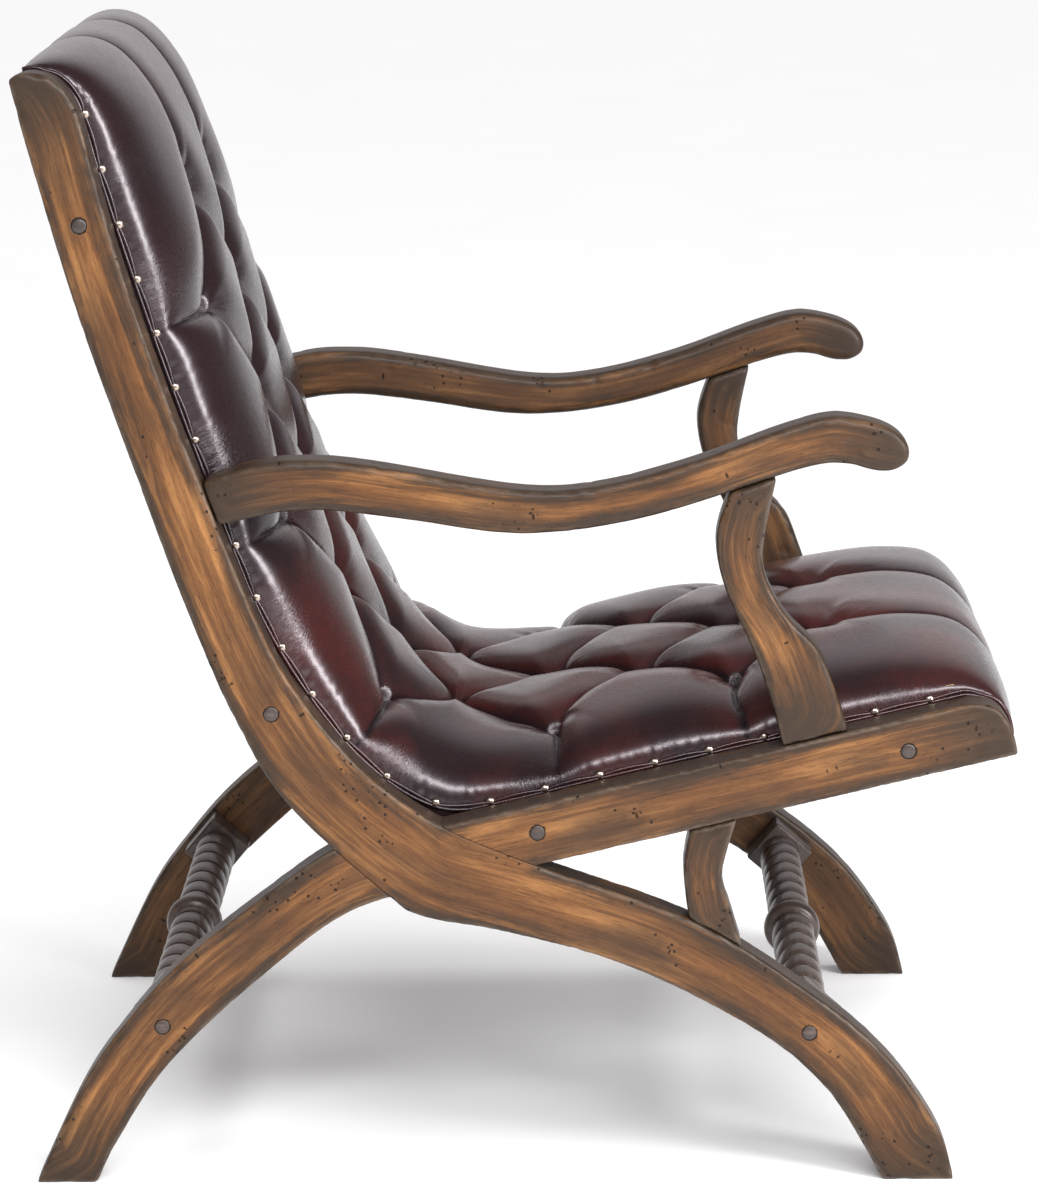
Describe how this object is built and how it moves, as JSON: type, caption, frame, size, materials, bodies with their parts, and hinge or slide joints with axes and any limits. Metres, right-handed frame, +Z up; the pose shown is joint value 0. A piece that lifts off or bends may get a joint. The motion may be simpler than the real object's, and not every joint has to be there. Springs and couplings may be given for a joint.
{
  "type": "upholstered armchair",
  "caption": "Low library armchair: crossed sabre-leg side frames, S-shaped open arms, turned stretchers and a sloped panel with a buttoned leather pad.",
  "frame": {"origin": "on the floor, at the middle of the chair's plan box", "axes": "+Z up, the sitter faces -Y, the sitter's right is at -X"},
  "size_m": [0.672, 0.85, 0.9762],
  "materials": {
    "walnut": "hand-rubbed satin lacquer over antiqued walnut, darkened along the edges",
    "dark_walnut": "dark burnished satin",
    "hardwood": "bare planed hardwood, hidden",
    "plywood": "bare plywood, hidden",
    "foam": "cut upholstery foam, hidden",
    "leather": "hand-rubbed oxblood leather with a satin sheen",
    "dust_cloth": "black non-woven dust cloth",
    "steel": "bright steel screws, hidden",
    "nail": "aged bronze upholstery nails"
  },
  "bodies": {
    "root": {"right_back_leg_board": "walnut", "right_seat_leg_board": "walnut", "right_arm": "walnut", "right_arm_post": "walnut", "right_seat_strut": "walnut", "right_arm_dowel": "hardwood", "right_post_top_dowel": "hardwood", "right_post_foot_dowel": "hardwood", "right_strut_top_dowel": "hardwood", "right_strut_foot_dowel": "hardwood", "right_crest_rail_plug": "dark_walnut", "right_crest_rail_screw": "steel", "right_lower_back_rail_plug": "dark_walnut", "right_lower_back_rail_screw": "steel", "right_rear_seat_rail_plug": "dark_walnut", "right_rear_seat_rail_screw": "steel", "right_front_seat_rail_plug": "dark_walnut", "right_front_seat_rail_screw": "steel", "right_rear_stretcher_plug": "dark_walnut", "right_rear_stretcher_screw": "steel", "right_front_stretcher_plug": "dark_walnut", "right_front_stretcher_screw": "steel", "left_back_leg_board": "walnut", "left_seat_leg_board": "walnut", "left_arm": "walnut", "left_arm_post": "walnut", "left_seat_strut": "walnut", "left_arm_dowel": "hardwood", "left_post_top_dowel": "hardwood", "left_post_foot_dowel": "hardwood", "left_strut_top_dowel": "hardwood", "left_strut_foot_dowel": "hardwood", "left_crest_rail_plug": "dark_walnut", "left_crest_rail_screw": "steel", "left_lower_back_rail_plug": "dark_walnut", "left_lower_back_rail_screw": "steel", "left_rear_seat_rail_plug": "dark_walnut", "left_rear_seat_rail_screw": "steel", "left_front_seat_rail_plug": "dark_walnut", "left_front_seat_rail_screw": "steel", "left_rear_stretcher_plug": "dark_walnut", "left_rear_stretcher_screw": "steel", "left_front_stretcher_plug": "dark_walnut", "left_front_stretcher_screw": "steel", "crest_rail": "hardwood", "lower_back_rail": "hardwood", "rear_seat_rail": "hardwood", "front_seat_rail": "hardwood", "rear_stretcher": "dark_walnut", "front_stretcher": "dark_walnut", "right_panel_rail": "hardwood", "left_panel_rail": "hardwood", "panel_head_rail": "hardwood", "panel_nose_rail": "hardwood", "back_deck": "plywood", "seat_deck": "plywood", "foam_pad": "foam", "leather_cover": "leather", "outside_back_cover": "leather", "seat_dust_cover": "dust_cloth"}
  },
  "joints": []
}
